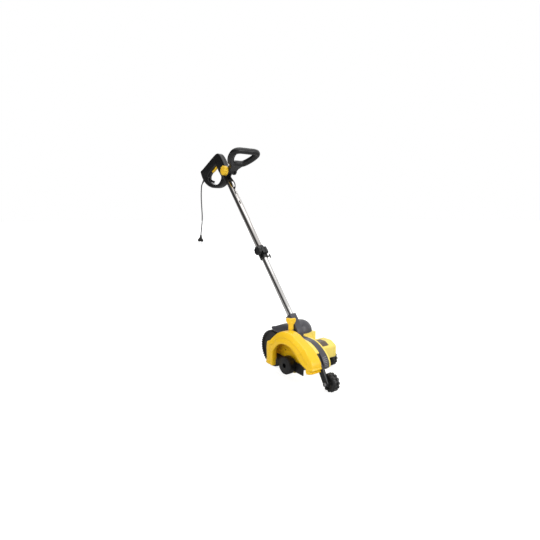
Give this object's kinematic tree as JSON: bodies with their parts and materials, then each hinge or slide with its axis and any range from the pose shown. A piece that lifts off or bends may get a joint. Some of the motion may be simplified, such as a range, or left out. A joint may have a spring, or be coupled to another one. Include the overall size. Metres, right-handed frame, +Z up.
{
  "type": "electric lawn edger",
  "caption": "Corded lawn edger: guarded upright blade with geared motor, three wheels, telescopic tube with clamp, loop handle with trigger, and tilting D handle.",
  "frame": {"origin": "on the ground, under the middle of the big rear wheel", "axes": "+X the way the machine travels, +Y its left-hand side, +Z up"},
  "size_m": [1.2532, 0.3668, 1.137],
  "materials": {
    "yellow plastic": "glossy moulded yellow",
    "black plastic": "moulded black, fine grain",
    "black rubber": "matt black rubber",
    "bright tube": "bright plated steel tube",
    "steel": "turned steel",
    "dark steel": "dark coated steel",
    "copper": "copper segments",
    "plain plate": "bare dark plate"
  },
  "bodies": {
    "machine_body": {"blade_guard": "yellow plastic", "chamber_plate": "yellow plastic", "bearing_cover": "black plastic", "near_shell": "yellow plastic", "body_band": "black plastic", "far_shell": "yellow plastic", "motor_housing": "yellow plastic", "motor_end_cap": "yellow plastic", "rating_plate": "plain plate", "vent_box": "yellow plastic", "top_cover": "black plastic", "rear_fork": "black plastic", "rear_axle": "steel", "left_bracket": "dark steel", "left_axle": "steel", "lower_tube": "bright tube", "arm_pivot": "steel", "arbor_bearing_near": "steel", "arbor_bearing_far": "steel", "stator": "dark steel", "motor_bearing_inner": "steel", "motor_bearing_outer": "steel"},
    "blade": {"edger_blade": "dark steel", "blade_hub": "black plastic", "blade_bolt": "steel", "blade_flange": "steel", "arbor_shaft": "steel", "driven_gear": "steel"},
    "rotor": {"motor_shaft": "steel", "motor_pinion": "steel", "rotor_core": "dark steel", "commutator": "copper", "cooling_fan": "black plastic"},
    "rear_wheel": {"rear_wheel": "black rubber"},
    "left_wheel": {"left_wheel": "black rubber"},
    "front_arm": {"front_arm": "black plastic", "front_axle": "steel"},
    "front_wheel": {"front_wheel": "black rubber"},
    "depth_knob": {"depth_knob": "yellow plastic", "depth_stud": "steel"},
    "upper": {"upper_tube": "bright tube", "clamp_collar": "black plastic", "cord_peg": "black plastic", "clamp_bolt": "steel", "handle_near": "black plastic", "handle_far": "black plastic", "power_switch": "black plastic", "lead_cable": "black rubber", "cable_grommet": "black rubber", "strain_relief": "black rubber", "cord": "black rubber", "plug": "black rubber", "plug_pin_left": "steel", "plug_pin_right": "steel"},
    "clamp_knob": {"clamp_knob": "black plastic"},
    "trigger": {"trigger": "yellow plastic"},
    "lock_button": {"lock_button": "yellow plastic"},
    "aux_handle": {"aux_handle": "black plastic", "aux_bolt": "steel"},
    "aux_knob": {"aux_knob": "yellow plastic"}
  },
  "joints": [
    {"name": "blade_spin", "type": "hinge", "parent": "machine_body", "child": "blade", "pos_m": [0.202, 0, 0.079], "axis": [0, 1, 0], "continuous": true},
    {"name": "motor_spin", "type": "hinge", "parent": "machine_body", "child": "rotor", "pos_m": [0.22518, 0, 0.13107], "axis": [0, 1, 0], "continuous": true},
    {"name": "rear_wheel_spin", "type": "hinge", "parent": "machine_body", "child": "rear_wheel", "pos_m": [0, 0, 0.095], "axis": [0, 1, 0], "continuous": true},
    {"name": "left_wheel_spin", "type": "hinge", "parent": "machine_body", "child": "left_wheel", "pos_m": [0.175, 0.228, 0.042], "axis": [0, 1, 0], "continuous": true},
    {"name": "depth_knob_turn", "type": "hinge", "parent": "machine_body", "child": "depth_knob", "pos_m": [0.17, -0.037, 0.235], "axis": [0, 0, 1], "range_deg": [-1440, 1440]},
    {"name": "front_arm_tilt", "type": "hinge", "parent": "machine_body", "child": "front_arm", "pos_m": [0.352, 0, 0.148], "axis": [0, 1, 0], "range_deg": [-6.3, 6.3]},
    {"name": "front_wheel_spin", "type": "hinge", "parent": "front_arm", "child": "front_wheel", "pos_m": [0.413, -0.008, 0.042], "axis": [0, 1, 0], "continuous": true},
    {"name": "tube_slide", "type": "slide", "parent": "machine_body", "child": "upper", "axis": [-0.6299, 0, 0.7767], "range_m": [-0.15, 0.12]},
    {"name": "clamp_knob_turn", "type": "hinge", "parent": "upper", "child": "clamp_knob", "pos_m": [-0.09247, 0, 0.5976], "axis": [0, 1, 0], "range_deg": [-540, 0]},
    {"name": "aux_handle_tilt", "type": "hinge", "parent": "upper", "child": "aux_handle", "pos_m": [-0.409, 0, 1.0275], "axis": [0, 1, 0], "range_deg": [-38, 44]},
    {"name": "aux_knob_turn", "type": "hinge", "parent": "aux_handle", "child": "aux_knob", "pos_m": [-0.409, 0, 1.0275], "axis": [0, 1, 0], "range_deg": [-540, 0]},
    {"name": "trigger_pull", "type": "hinge", "parent": "upper", "child": "trigger", "pos_m": [-0.56, 0, 1.083], "axis": [0, 1, 0], "range_deg": [0, 8], "stiffness_Nm_per_rad": 1, "springref_deg": -5.73},
    {"name": "lock_button_press", "type": "slide", "parent": "upper", "child": "lock_button", "axis": [0, -1, 0], "range_m": [0, 0.0035], "stiffness_N_per_m": 300, "springref_m": -0.001}
  ],
  "couplings": [
    {"joint": "motor_spin", "follows": "blade_spin", "ratio": -2.4545},
    {"joint": "front_arm_tilt", "follows": "depth_knob_turn", "ratio": 0.004372}
  ]
}
